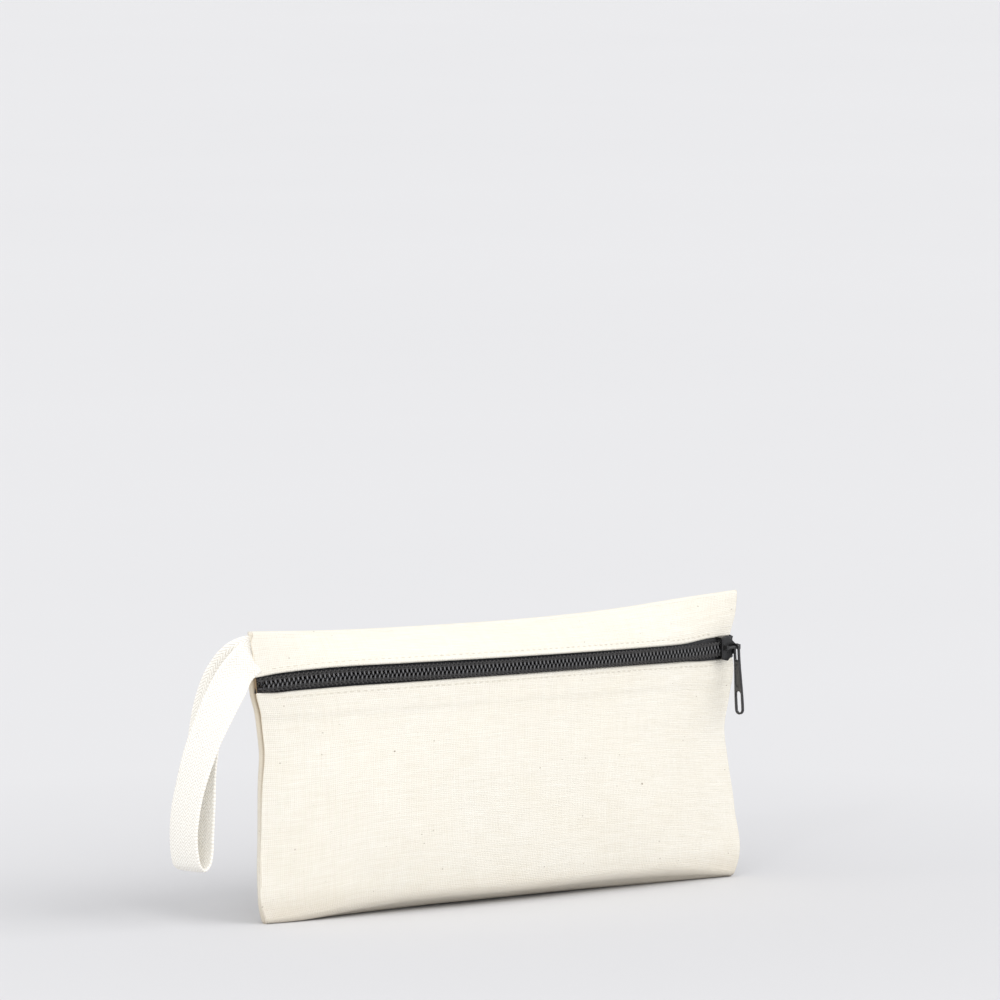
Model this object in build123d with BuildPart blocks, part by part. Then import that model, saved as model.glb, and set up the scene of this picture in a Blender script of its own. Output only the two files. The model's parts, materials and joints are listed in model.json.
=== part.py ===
"""A flat canvas pouch with a zip across its front and a twill-tape loop in its left side seam.

The pouch stands on its bottom fold. +X runs along the pouch from the strap's seam to the closed end of the
zip, the zipped front faces -Y, and +Z is up. The origin is the middle of the base, on the floor.
The canvas is one blank folded at the bottom and at the top. Here it is three pieces that meet along the
folds: front_panel below the zip, top_band above it and back_panel behind.
The zip's chain lies on a vertical cylinder about the arc axis, so that the slider runs along it by turning
about that axis. At the sides the canvas is turned in, and both seam allowances point into the pouch.
"""

from build123d import *
import math
import os

# Pouch, mm
pouch_length = 194.0
pouch_height = 97.5
top_sag = 3.4
canvas = 0.9
seam_half = 1.9
fold_half = 1.0
base_half = 8.0
front_depths = {12.0: 11.2, 40.0: 13.0, 64.0: 12.6}
back_depths = {83.0: 7.2, 67.0: 11.4, 40.0: 13.0, 12.0: 11.2}
section_count = 9
split_gap = 0.1
corner_margin = 0.2

# Seam allowances and their threads
allowance = 9.0
allowance_low = 3.0
allowance_clearance = 0.05
allowance_below_top = 5.0
seam_thread = 0.3
seam_thread_inset = 1.5
seam_thread_room = 0.3
seam_thread_break = 0.5
overlock = 0.3
overlock_reach = 1.8
overlock_low = 10.0

# Zip chain, sized as a standard size 5 nylon coil
zip_height = 79.3
zip_window_half = 4.0
tape = 0.6
tape_half_width = 14.0
upper_tape_trim = 1.0
tape_gap_half = 1.2
tape_to_canvas = 0.1
tape_mid_depth = 10.6
tape_end_depth = 0.6
tape_short = 1.7
tape_back_limit = 0.4
chain_short = 2.2
coil_pitch = 1.576
coil_tooth = 0.55
coil_height = 2.2
coil_half_width = 3.05
coil_overlap = 0.35
coil_rail = 0.5
coil_clearance = 0.15
cord = 0.9
cord_tunnel = 1.2
coil_thread = 0.25
coil_thread_gap = 0.05
rail_set_back = 0.1

# Topstitching beside the zip
stitch_length = 1.8
stitch_pitch = 2.43
stitch_width = 0.35
stitch_from_edge = 1.4
stitch_stand = 0.25
stitch_gap = 0.03
stitch_end_margin = 6.0

# Slider; its places are measured along the zip from its middle, and its halves up and down
slider_rest_x = 89.6
slider_rear = 3.7
slider_rear_place = -3.2
slider_shoulder = 4.4
slider_shoulder_place = -0.4
slider_nose = 1.1
slider_nose_place = 3.6
chain_into_slider = 0.6
plate = 1.0
plate_corner = 0.5
plate_edge = 0.25
plate_joint = 0.2
back_plate = 0.7
back_plate_shrink = 0.4
slider_clearance = 0.15
pocket_reach = 14.0
pocket_room = 3.0
rail_wall = 0.5
rail_from = -2.9
rail_to = 0.2
wedge_from = 0.8
wedge_to = 3.0
wedge_half = 1.0

# Bridge on the slider's face, and the pull that hangs from it
bridge_bar = 1.1
bridge_post = 0.8
bridge_foot = 1.7
bridge_rear = -2.6
bridge_front = 3.2
bridge_rise = 0.3
pull_place = 2.2
pull_lean = 4.0
pull_fit = 0.08
pull_eye_gap = 0.15
pull_eye_half = 1.2
pull_neck_half = 1.35
pull_end_half = 1.75
pull_eye_drop = 5.0
pull_neck_drop = 9.0
pull_widest_drop = 18.0
pull_length = 23.0
pull_thick = 0.8
pull_eye_slot = 4.0
pull_window = 7.4
pull_rim = 0.6
pull_recess_drop = 9.8
pull_recess_length = 7.6
pull_recess_half = 0.85
pull_recess = 0.15

# Strap: herringbone tape, both ends caught in the left seam
strap_width = 12.0
strap_thick = 0.85
strap_height = 90.2
strap_tuck = 7.5
strap_ply = 0.5
strap_room = 0.2

half = pouch_length / 2
zip_sagitta = tape_mid_depth - tape_end_depth
arc_radius = (half**2 + zip_sagitta**2) / (2 * zip_sagitta)
arc_y = arc_radius - tape_mid_depth
canvas_front = tape / 2 + tape_to_canvas + canvas
zip_low = zip_height - zip_window_half
zip_high = zip_height + zip_window_half
coil_back = tape / 2 + coil_clearance
coil_front = coil_back + coil_height


def arc_depth(x, outward):
    """How far in front of the middle plane a point of the zip's cylinder lies."""
    return math.sqrt((arc_radius + outward) ** 2 - x**2) - arc_y


def turn_at(x):
    """The turn about the arc axis, in degrees, that brings the middle of the zip to x."""
    return math.degrees(math.asin(x / arc_radius))


def pouch_block(inset):
    """The pouch's outer block, or the same block shrunk by inset all round."""
    end = half - max(inset, 0)
    with BuildPart() as block:
        for number in range(section_count):
            x = -end + 2 * end * number / (section_count - 1)
            fullness = 1 - (x / half) ** 2
            top = pouch_height - top_sag * fullness - inset
            fold = max(fold_half + (seam_half - fold_half) * (1 - fullness) ** 4 - inset, 0.1)
            low = inset if inset > 0 else -0.5

            def depth(full):
                return seam_half + (full - seam_half) * fullness - inset

            front = [(-depth(d), z) for z, d in front_depths.items()]
            back = [(depth(d), z) for z, d in back_depths.items()]
            at_zip = -(arc_depth(x, canvas_front) - inset)
            with BuildSketch(Plane(origin=(x, 0, 0), x_dir=(0, 1, 0), z_dir=(1, 0, 0))):
                with BuildLine():
                    Spline((-depth(base_half), low), *front, (at_zip, zip_low), tangents=((-0.3, 1), (0, 1)))
                    Line((at_zip, zip_low), (at_zip, zip_high))
                    Line((at_zip, zip_high), (-fold, top - fold))
                    ThreePointArc((-fold, top - fold), (0, top), (fold, top - fold))
                    Spline((fold, top - fold), *back, (depth(base_half), low))
                    Line((depth(base_half), low), (-depth(base_half), low))
                make_face()
        loft()
    return block.part


def slab(low, high):
    """A box between two corners."""
    size = [b - a for a, b in zip(low, high)]
    middle = [(a + b) / 2 for a, b in zip(low, high)]
    return Pos(*middle) * Box(*size, mode=Mode.PRIVATE)


def both_ends(low, high):
    """The same box at the right end and, mirrored, at the left end."""
    box = slab(low, high)
    return [box, mirror(box, about=Plane.YZ)]


def arc_band(inner, outer, low, high, from_x, to_x):
    """A band on the zip's cylinder, between two distances outward from the middle of the tape."""
    start = turn_at(from_x)
    sweep_angle = turn_at(to_x) - start
    with BuildPart() as band:
        with BuildSketch(Plane((0, arc_y, low), x_dir=(0, -1, 0), z_dir=(0, 0, 1))):
            with BuildLine():
                rim = CenterArc((0, 0), arc_radius + outer, start, sweep_angle)
                hub = CenterArc((0, 0), arc_radius + inner, start, sweep_angle)
                Line(rim @ 0, hub @ 0)
                Line(rim @ 1, hub @ 1)
            make_face()
        extrude(amount=high - low)
    return band.part


# Canvas --------------------------------------------------------------------------------------------------
far = 200.0
front_half = slab((-far, -far, 0), (far, -split_gap / 2, far))
back_half = slab((-far, split_gap / 2, 0), (far, far, far))
outer_block = pouch_block(0)
hollow = pouch_block(canvas)
strap_pocket = slab(
    (-half - 1, -strap_thick - strap_room, strap_height - strap_width / 2 - strap_room),
    (-half + strap_tuck + strap_room, strap_thick + strap_room, strap_height + strap_width / 2 + strap_room),
)
pocket_back = -tape / 2 - 3 * slider_clearance - back_plate
pocket_front = canvas_front + pocket_room
slider_pocket = arc_band(pocket_back, pocket_front, zip_low, zip_high, half - pocket_reach, half + pocket_room)
allowance_in = half - allowance
allowance_out = half - canvas + corner_margin
allowance_top = pouch_height - allowance_below_top
lower_allowance_top = zip_height - tape_half_width - 3 * corner_margin
near_face = split_gap / 2
far_face = near_face + canvas - 2 * allowance_clearance
thread_x = half - seam_thread_inset
thread_spans = ((allowance_low, zip_low - seam_thread_break), (zip_high + seam_thread_break, allowance_top))
thread_room = [
    box
    for low, high in thread_spans
    for box in both_ends(
        (thread_x - seam_thread_room, -seam_thread_room - corner_margin, low),
        (thread_x + seam_thread_room, seam_thread_room + corner_margin, high),
    )
]

with BuildPart() as front_panel:
    add(outer_block)
    add(hollow, mode=Mode.SUBTRACT)
    add(front_half, mode=Mode.INTERSECT)
    add(slab((-far, -far, zip_low), (far, far, far)), mode=Mode.SUBTRACT)
    flap_corners = (allowance_in, -far_face, allowance_low), (allowance_out, -near_face, lower_allowance_top)
    for flap in both_ends(*flap_corners):
        add(flap)
    for room in thread_room:
        add(room, mode=Mode.SUBTRACT)

with BuildPart() as top_band:
    add(outer_block)
    add(hollow, mode=Mode.SUBTRACT)
    add(front_half, mode=Mode.INTERSECT)
    add(slab((-far, -far, -far), (far, far, zip_high)), mode=Mode.SUBTRACT)
    add(strap_pocket, mode=Mode.SUBTRACT)

with BuildPart() as back_panel:
    add(outer_block)
    add(hollow, mode=Mode.SUBTRACT)
    add(back_half, mode=Mode.INTERSECT)
    add(slab((allowance_in, near_face, allowance_low), (allowance_out, far_face, allowance_top)))
    add(slab((-allowance_out, near_face, allowance_low), (-allowance_in, far_face, zip_high)))
    for room in thread_room:
        add(room, mode=Mode.SUBTRACT)
    add(strap_pocket, mode=Mode.SUBTRACT)
    add(slider_pocket, mode=Mode.SUBTRACT)

# Threads of the side seams, between the allowances, and the overlocking round the allowances' raw edges
seam_threads = {}
overlocks = {}
for side, sign in (("left", -1), ("right", 1)):
    x = sign * thread_x
    spans = thread_spans if side == "right" else thread_spans[:1]
    with BuildPart() as thread:
        for low, high in spans:
            low_corner = (x - seam_thread / 2, -seam_thread_room, low + 2 * seam_thread_break)
            high_corner = (x + seam_thread / 2, seam_thread_room, high - 2 * seam_thread_break)
            add(slab(low_corner, high_corner))
    seam_threads[side] = thread

    edge = sign * allowance_in
    overlock_high = lower_allowance_top - overlock_reach
    overlock_middle = (overlock_low + overlock_high) / 2
    with BuildPart() as wrap:
        with Locations((edge + sign * (overlock_reach - overlock) / 2, 0, overlock_middle)):
            Box(overlock_reach + overlock, 2 * (far_face + 2 * overlock), overlock_high - overlock_low)
            with Locations((sign * overlock, 0, 0)):
                Box(overlock_reach + overlock, 2 * (far_face + overlock / 2), far, mode=Mode.SUBTRACT)
    overlocks[side] = wrap

# Zip -----------------------------------------------------------------------------------------------------
tape_outer = pouch_block(canvas + tape_to_canvas)
tape_inner = pouch_block(canvas + tape_to_canvas + tape)
tape_end = half - tape_short
tapes = {}
for name, low, high in (
    ("lower", zip_height - tape_half_width, zip_height - tape_gap_half),
    ("upper", zip_height + tape_gap_half, zip_height + tape_half_width - upper_tape_trim),
):
    with BuildPart() as strip:
        add(tape_outer)
        add(tape_inner, mode=Mode.SUBTRACT)
        add(slab((-tape_end, -far, low), (tape_end, -tape_back_limit, high)), mode=Mode.INTERSECT)
        add(strap_pocket, mode=Mode.SUBTRACT)
    tapes[name] = strip

chain_from = -half + chain_short
chain_to = slider_rest_x + chain_into_slider
tooth_turn = math.degrees(coil_pitch / (arc_radius + coil_back))
tooth_count = int((turn_at(chain_to) - turn_at(chain_from)) / tooth_turn) - 1
coil_middle = (coil_back + coil_front) / 2
tunnel_middle = coil_half_width - coil_rail - cord_tunnel / 2


def square_along_zip(outward, height, half_width, beyond=0):
    """A square bar on the zip's cylinder as long as the chain, or reaching beyond it at both ends."""
    return arc_band(
        outward - half_width,
        outward + half_width,
        height - half_width,
        height + half_width,
        chain_from - beyond,
        chain_to + beyond,
    )


coils = {}
cords = {}
coil_threads = {}
for name, sign, phase in (("lower", -1, 0), ("upper", 1, 0.5)):
    outer_z = zip_height + sign * coil_half_width
    rail_z = zip_height + sign * (coil_half_width - coil_rail)
    tip_z = zip_height - sign * coil_overlap
    tunnel_z = zip_height + sign * tunnel_middle
    first_turn = turn_at(chain_from) + (0.5 + phase) * tooth_turn
    with BuildPart() as coil:
        with BuildSketch(Plane((0, arc_y, min(outer_z, tip_z)), x_dir=(0, -1, 0), z_dir=(0, 0, 1))):
            with PolarLocations(arc_radius + coil_middle, tooth_count, first_turn, tooth_count * tooth_turn):
                Rectangle(coil_height, coil_tooth)
        extrude(amount=coil_half_width + coil_overlap)
        rail_low, rail_high = sorted((outer_z, rail_z))
        rail_back = coil_back + rail_set_back
        rail_front = coil_front - rail_set_back
        add(arc_band(rail_back, rail_front, rail_low + rail_set_back, rail_high, chain_from, chain_to))
        add(square_along_zip(coil_middle, tunnel_z, cord_tunnel / 2, beyond=1), mode=Mode.SUBTRACT)
    coils[name] = coil

    with BuildPart() as filler:
        add(square_along_zip(coil_middle, tunnel_z, cord / 2))
    cords[name] = filler

    with BuildPart() as sewing:
        sewing_back = coil_front + coil_thread_gap
        sewing_low = tunnel_z - coil_thread
        sewing_high = tunnel_z + coil_thread
        add(arc_band(sewing_back, sewing_back + coil_thread, sewing_low, sewing_high, chain_from, chain_to))
    coil_threads[name] = sewing

# Rows of topstitching on the canvas, below and above the zip
stitch_skin = pouch_block(-stitch_stand)
stitch_floor = pouch_block(-stitch_gap)
stitch_count = int((pouch_length - 2 * stitch_end_margin) / stitch_pitch)
topstitches = {}
for name, z in (("lower", zip_low - stitch_from_edge), ("upper", zip_high + stitch_from_edge)):
    with BuildPart() as dashes:
        with Locations((0, -far / 2 - 0.2, z)):
            with GridLocations(stitch_pitch, 1, stitch_count, 1):
                Box(stitch_length, far, stitch_width)
        add(stitch_skin, mode=Mode.INTERSECT)
        add(stitch_floor, mode=Mode.SUBTRACT)
    topstitches[name] = dashes

# Slider, made at the middle of the zip and then turned to the closed end ---------------------------------
def slider_plane(outward):
    """The plane at a distance outward from the tape, with its x along the zip and its y up."""
    return Plane((0, -tape_mid_depth - outward, zip_height), x_dir=(1, 0, 0), z_dir=(0, -1, 0))


def shield(shrink):
    """The slider's outline: a wide rear, shoulders where the two tapes come in, and a narrow nose."""
    upper = [
        (slider_rear_place, slider_rear - shrink),
        (slider_shoulder_place, slider_shoulder - shrink),
        (slider_nose_place - shrink, slider_nose - shrink / 2),
    ]
    lower = [(x, -y) for x, y in reversed(upper)]
    return upper + lower


top_plate_under = coil_front + coil_thread_gap + coil_thread + slider_clearance
top_plate_face = top_plate_under + plate
back_plate_face = -tape / 2 - slider_clearance
rail_middle = coil_half_width + slider_clearance + rail_wall / 2
to_closed_end = Axis((0, arc_y, 0), (0, 0, 1))
rest_turn = turn_at(slider_rest_x)

with BuildPart() as slider_body:
    with BuildSketch(slider_plane(top_plate_under)):
        with BuildLine():
            Polyline(*shield(0), close=True)
        make_face()
    extrude(amount=plate)
    fillet(slider_body.edges().filter_by(Axis.Y), radius=plate_corner)
    chamfer(slider_body.faces().sort_by(Axis.Y)[0].edges(), length=plate_edge)
    with BuildSketch(slider_plane(back_plate_face - back_plate)):
        with BuildLine():
            Polyline(*shield(back_plate_shrink), close=True)
        make_face()
    extrude(amount=back_plate)
    with BuildSketch(slider_plane(coil_back)):
        rail_place = (rail_from + rail_to) / 2
        with Locations((rail_place, rail_middle), (rail_place, -rail_middle)):
            Rectangle(rail_to - rail_from, rail_wall)
    extrude(amount=top_plate_under + plate_joint - coil_back)
    with BuildSketch(slider_plane(back_plate_face - plate_joint)):
        with Locations(((wedge_from + wedge_to) / 2, 0)):
            Rectangle(wedge_to - wedge_from, 2 * wedge_half)
    extrude(amount=top_plate_under - back_plate_face + 2 * plate_joint)
slider_body.part = slider_body.part.rotate(to_closed_end, rest_turn)

pivot_out = top_plate_face + pull_eye_half + pull_eye_gap
pivot_z = zip_height + bridge_rise
with BuildPart() as slider_bridge:
    with BuildSketch(Plane((bridge_rear, -tape_mid_depth - pivot_out, pivot_z), z_dir=(1, 0, 0))):
        Circle(bridge_bar / 2)
    extrude(amount=bridge_front - bridge_rear)
    for post_place in (bridge_rear, bridge_front):
        with BuildSketch(slider_plane(top_plate_face)):
            with Locations((post_place, bridge_rise)):
                Rectangle(bridge_post, bridge_foot)
        extrude(amount=pivot_out - top_plate_face + bridge_bar / 2)
slider_bridge.part = slider_bridge.part.rotate(to_closed_end, rest_turn)

pull_plane = Plane((pull_place, -tape_mid_depth - pivot_out, pivot_z), x_dir=(0, -1, 0), z_dir=(-1, 0, 0))
bridge_line = Axis((0, -tape_mid_depth - pivot_out, pivot_z), (1, 0, 0))
round_end = -pull_length + pull_end_half
pull_side = [
    (pull_eye_half, -pull_eye_drop),
    (pull_neck_half, -pull_neck_drop),
    (pull_end_half, -pull_widest_drop),
    (pull_end_half, round_end),
]
with BuildPart() as pull_tab:
    with BuildSketch(pull_plane):
        with BuildLine():
            for side in (1, -1):
                Line((side * pull_eye_half, 0), (side * pull_eye_half, -pull_eye_drop))
                Spline(*[(side * x, y) for x, y in pull_side])
            ThreePointArc((-pull_end_half, round_end), (0, -pull_length), (pull_end_half, round_end))
            ThreePointArc((-pull_eye_half, 0), (0, pull_eye_half), (pull_eye_half, 0))
        make_face()
    extrude(amount=pull_thick / 2, both=True)
    with BuildSketch(pull_plane):
        with Locations((0, -pull_eye_slot / 2)):
            SlotCenterToCenter(pull_eye_slot, bridge_bar + 2 * pull_fit, rotation=90)
        with Locations((0, -pull_length + pull_rim + pull_window / 2)):
            SlotOverall(pull_window, 2 * (pull_end_half - pull_rim), rotation=90)
    extrude(amount=pull_thick, both=True, mode=Mode.SUBTRACT)
    for side in (1, -1):
        with BuildSketch(pull_plane.offset(side * (pull_thick / 2 - pull_recess))):
            with Locations((0, -pull_recess_drop)):
                SlotOverall(pull_recess_length, 2 * pull_recess_half, rotation=90)
        extrude(amount=side * pull_thick, mode=Mode.SUBTRACT)
pull_tab.part = pull_tab.part.rotate(bridge_line, -pull_lean).rotate(to_closed_end, rest_turn)

# Strap: stations along the loop, each with its centre and the direction of the tape's upper edge ---------
strap_stations = [
    ((-half + strap_tuck, -strap_ply, strap_height), (0, 0, 1)),
    ((-93.0, -strap_ply, strap_height), (0, 0, 1)),
    ((-96.0, -strap_ply, strap_height), (0, 0, 1)),
    ((-98.5, -0.52, 90.1), (0, 0, 1)),
    ((-104.0, -1.5, 86.4), (-0.5, 0.15, 0.85)),
    ((-109.5, -3.0, 80.6), (-0.62, 0.5, 0.6)),
    ((-115.0, -3.2, 72.5), (-0.6, 0.72, 0.35)),
    ((-120.0, -2.8, 63.0), (-0.48, 0.86, 0.18)),
    ((-124.0, -2.2, 52.0), (-0.37, 0.92, 0.08)),
    ((-126.7, -1.5, 40.0), (-0.3, 0.95, 0)),
    ((-127.2, -1.1, 30.0), (-0.28, 0.96, 0)),
    ((-126.2, -0.9, 23.4), (-0.28, 0.96, 0)),
    ((-122.6, 0.0, 19.8), (-0.28, 0.96, 0)),
    ((-119.0, 0.9, 23.4), (-0.28, 0.96, 0)),
    ((-118.0, 1.2, 30.0), (-0.28, 0.96, 0)),
    ((-117.2, 1.8, 42.0), (-0.3, 0.95, 0)),
    ((-115.9, 3.2, 54.0), (-0.35, 0.93, 0.05)),
    ((-113.7, 4.6, 65.0), (-0.42, 0.88, 0.2)),
    ((-110.7, 5.0, 75.0), (-0.5, 0.75, 0.4)),
    ((-107.2, 3.9, 83.4), (-0.55, 0.5, 0.65)),
    ((-102.8, 1.9, 89.0), (-0.3, 0.15, 0.92)),
    ((-98.5, 0.52, 90.2), (0, 0, 1)),
    ((-96.0, strap_ply, strap_height), (0, 0, 1)),
    ((-93.0, strap_ply, strap_height), (0, 0, 1)),
    ((-half + strap_tuck, strap_ply, strap_height), (0, 0, 1)),
]
strap_centre = Spline(*[place for place, _ in strap_stations])
with BuildPart() as wrist_strap:
    for place, up in strap_stations:
        along = strap_centre % strap_centre.param_at_point(Vector(*place))
        with BuildSketch(Plane(place, x_dir=up, z_dir=along)):
            Rectangle(strap_width, strap_thick)
    loft()

# Parts ---------------------------------------------------------------------------------------------------
parts = {
    "front_panel": front_panel,
    "top_band": top_band,
    "back_panel": back_panel,
    "slider_body": slider_body,
    "slider_bridge": slider_bridge,
    "pull_tab": pull_tab,
    "wrist_strap": wrist_strap,
}
for side in ("left", "right"):
    parts[side + "_seam_thread"] = seam_threads[side]
    parts[side + "_overlock"] = overlocks[side]
for name in ("lower", "upper"):
    parts[name + "_zip_tape"] = tapes[name]
    parts[name + "_zip_coil"] = coils[name]
    parts[name + "_filler_cord"] = cords[name]
    parts[name + "_coil_thread"] = coil_threads[name]
    parts[name + "_topstitch"] = topstitches[name]

os.makedirs("parts", exist_ok=True)
for name, piece in parts.items():
    piece.part.label = name
    export_step(piece.part, f"parts/{name}.step")
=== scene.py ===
"""The looks of a natural canvas zip pouch with a wrist strap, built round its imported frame.

X runs along the pouch, Y into it (the front faces -Y) and Z is up. Shapes are worked out in
millimetres in the frame's own coordinates, and add_mesh turns them into metres. Along a canvas
panel, s runs from -1 at the left side seam to 1 at the right, and turn is the angle through
which the cloth has rolled round into the seam.
"""

import json
import math

import bpy
import numpy as np
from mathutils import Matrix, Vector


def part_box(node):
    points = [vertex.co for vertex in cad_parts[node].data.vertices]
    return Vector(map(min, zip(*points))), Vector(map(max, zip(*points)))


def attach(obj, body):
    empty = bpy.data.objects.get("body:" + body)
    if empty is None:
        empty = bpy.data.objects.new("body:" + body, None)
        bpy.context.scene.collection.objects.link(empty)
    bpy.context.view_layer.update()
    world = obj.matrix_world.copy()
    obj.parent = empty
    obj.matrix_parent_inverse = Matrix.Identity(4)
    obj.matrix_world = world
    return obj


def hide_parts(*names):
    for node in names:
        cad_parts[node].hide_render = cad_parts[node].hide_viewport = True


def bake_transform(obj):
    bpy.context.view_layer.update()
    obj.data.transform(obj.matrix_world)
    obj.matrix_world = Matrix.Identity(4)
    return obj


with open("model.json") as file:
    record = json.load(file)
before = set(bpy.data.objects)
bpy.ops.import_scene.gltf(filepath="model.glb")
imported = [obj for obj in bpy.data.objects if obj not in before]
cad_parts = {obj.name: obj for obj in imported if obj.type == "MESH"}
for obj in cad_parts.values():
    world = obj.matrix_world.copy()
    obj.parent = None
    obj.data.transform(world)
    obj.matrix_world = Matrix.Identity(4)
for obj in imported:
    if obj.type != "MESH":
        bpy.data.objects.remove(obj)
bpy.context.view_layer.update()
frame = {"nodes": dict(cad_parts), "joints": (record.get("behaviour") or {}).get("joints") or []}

MM = 0.001
scene = bpy.context.scene


# ---- values read from the frame ----


def node_box(node):
    """A node's lowest and highest corners at rest, in millimetres."""
    low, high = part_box(node)
    return np.array(low) / MM, np.array(high) / MM


joints = {joint["name"]: joint for joint in frame["joints"]}
_, back_high = node_box("back_panel")
half_length = back_high[0]
pouch_height = back_high[2]
pouch_middle = np.array([0, 0, pouch_height / 2])
travel_centre = np.array(joints["slider_travel"]["pos_m"]) / MM
zip_height = travel_centre[2]
tape_depth_at_seam = 0.6
zip_radius = math.hypot(half_length, travel_centre[1] + tape_depth_at_seam)


# ---- sizes of cloth and thread, in millimetres ----

canvas_thickness = 0.9
hem_thickness = 1.4
hem_outward = 1.5
hem_width = 8.0
fold_radius = 1.1
seam_depth = 1.9
seam_tuck = 0.9
seam_forward = 1.0
bottom_radius = 5.0
# Painted shade along the panels' lowest edge: its strength, and the height in millimetres over which it
# fades.
bottom_shade = 0.3
bottom_shade_height = 13.0
base_lift_share = 0.3
hemmed_step = 0.6
plain_step = 1.2
roll_columns = 12
front_rows = 84
back_rows = 70
band_rows = 30
fold_rows = 8

# The tape's open rows lie this far from the zip's middle line. Past the share tape_straight of the
# half length, all but the last are drawn out to tape_ends.
tape_rows = (1.2, 2.0, 2.8, 3.4)
tape_ends = (-98.2, 95.2)
tape_straight = 0.9
tape_reach = 0.985
tape_thickness = 0.6
tape_step = 1.5
tape_under_hem = 1.2
tape_cover = 11.0
tape_clearance = 0.05

coil_pitch = 1.576
coil_wire = 0.31
coil_reach = 2.45
coil_overlap = 0.35
coil_low_face = 0.45
coil_high_face = 2.35
coil_start = -97.5
coil_end = 90.2
coil_pressed_length = 3.5
coil_pressed_share = 0.6
halves_meet = coil_pitch / 2
cord_across = 1.3
cord_outward = 1.4
cord_radius = 0.34
thread_sides = 6

# Each thread that sews a coil to its tape: how far across it lies and swings, how far below the
# coil's high face it lies, how far it rises and falls, and its radius.
coil_threads = ((1.55, 0.0, 0.25, 0.2, 0.18), (2.15, 0.36, 0.3, 0.38, 0.2))

# Where the painted highlight lies on the upper and the lower coil: how far across, how widely and how
# strongly.
upper_highlight = (0.8, 0.68, 0.8)
lower_highlight = (0.6, 0.5, 0.62)

window_beside_slider = 4.45
window_widens = (72, 87.6)

stitch_pitch = 2.43
stitch_length = 1.8
stitch_radius = 0.17
stitch_from_hem = 1.4
stitch_sunk = 0.30
stitch_arch = 0.36
stitch_points = 9
first_stitch_hole = -38
last_stitch_hole = 36

seam_thread_radius = 0.15
seam_thread_heights = (4.0, 91.0)
seam_thread_inward = 1.3
seam_thread_swing = 0.25
allowance_heights = (10.0, 62.0)
allowance_edges = (7.2, 1.5)
allowance_thickness = 1.8
overlock_pitch = 2.1
overlock_radius = 0.16
overlock_inward = 6.0
overlock_half_width = 1.45
overlock_half_depth = 1.22

strap_width = 12.0
strap_thickness = 0.95
strap_seam_height = 90.2
strap_points = 260
strap_rows = 17


# ---- curves ----


def smooth(low, high, x):
    """0 below low, 1 above high, and an S curve between."""
    t = np.clip((x - low) / (high - low), 0, 1)
    return t * t * (3 - 2 * t)


def bump(x, centre, width):
    """A rounded bump, 1 at its centre."""
    return np.exp(-(((x - centre) / width) ** 2))


def through(stations, x):
    """The smooth curve through (place, value) stations, at x."""
    places, values = np.array(stations, float).T
    slopes = np.gradient(values, places)
    x = np.clip(x, places[0], places[-1])
    k = np.clip(np.searchsorted(places, x, side="right") - 1, 0, len(places) - 2)
    step = places[k + 1] - places[k]
    t = (x - places[k]) / step
    from_start = (1 + 2 * t) * (1 - t) ** 2 * values[k] + t * (1 - t) ** 2 * step * slopes[k]
    from_end = t * t * (3 - 2 * t) * values[k + 1] + t * t * (t - 1) * step * slopes[k + 1]
    return from_start + from_end


def squared(wave, power):
    """A sine or cosine with fuller shoulders, which makes a circle into a rounded square."""
    return np.sign(wave) * np.abs(wave) ** power


def distances(points):
    """How far along each point of a path lies, or each row of a grid of paths."""
    along = np.linalg.norm(np.diff(points, axis=0), axis=-1).cumsum(axis=0)
    return np.concatenate([np.zeros_like(along[:1]), along])


def waves(seed, count, shortest, longest):
    """A soft uneven surface of height about 1, made of seeded waves of these lengths."""
    rng = np.random.default_rng(seed)
    lengths = rng.uniform(shortest, longest, count)
    turns = rng.uniform(0, math.tau, count)
    shifts = rng.uniform(0, math.tau, count)

    def height(x, z):
        total = 0
        for length, turn, shift in zip(lengths, turns, shifts):
            along = x * math.cos(turn) + z * math.sin(turn)
            total = total + np.sin(along * math.tau / length + shift)
        return total / math.sqrt(count)

    return height


# ---- the pouch's outline ----


def side_edge(s, z):
    """How far the pouch reaches from its middle at height z, on the side that s is on."""
    left = [
        (0, 94.3), (6.6, 96.1), (15, 96.7), (29, 96.3), (46, 95.8), (57, 95.0), (63, 95.6),
        (70, 96.6), (76, 98.3), (81, 98.9), (85, 99.0), (90, 99.6), (94, 100.3), (98, 100.6),
    ]
    right = [
        (0, 95.6), (4, 97.8), (24, 96.6), (42, 93.7), (51, 92.5),
        (62, 94.3), (72, 95.8), (82, 94.1), (90, 96.4), (98, 97.5),
    ]
    return np.where(s < 0, through(left, z), through(right, z))


def top_edge(x):
    """The height of the fold along the top, which sags between its corners."""
    stations = [(-100, 97.4), (-62, 95.4), (-25, 94.5), (10, 94.2), (45, 95.0), (77, 97.0), (98, 98.2)]
    return through(stations, x)


def bottom_edge(x):
    """How far the bottom's front edge lifts off the table."""
    stations = [(-100, 0.1), (-84, 0.2), (-66, 1.6), (-46, 3.2), (0, 3.4), (52, 3.4), (74, 2.3), (99, 0.3)]
    return through(stations, x)


def zip_wander(x):
    """How far the sewn zip strays from straight, upwards."""
    stations = [
        (-97, 0.2), (-82, 1.2), (-68, 1.6), (-46, 1.45), (0, 0.8), (48, 0.1), (78, -0.4), (97, -0.2),
    ]
    return through(stations, x)


def window_half(x, upper):
    """How far a folded canvas edge lies from the zip's middle line; both clear the slider."""
    if upper:
        stations = [(-97, 3.0), (-92, 3.6), (-84, 3.8), (-60, 4.05), (20, 4.05), (53, 3.75), (80, 3.6)]
    else:
        stations = [(-97, 3.0), (-92, 3.8), (-84, 4.05), (-50, 3.95), (-15, 3.45), (30, 3.25), (80, 3.65)]
    along_zip = through(stations, x)
    return along_zip + (window_beside_slider - along_zip) * smooth(*window_widens, x)


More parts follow.
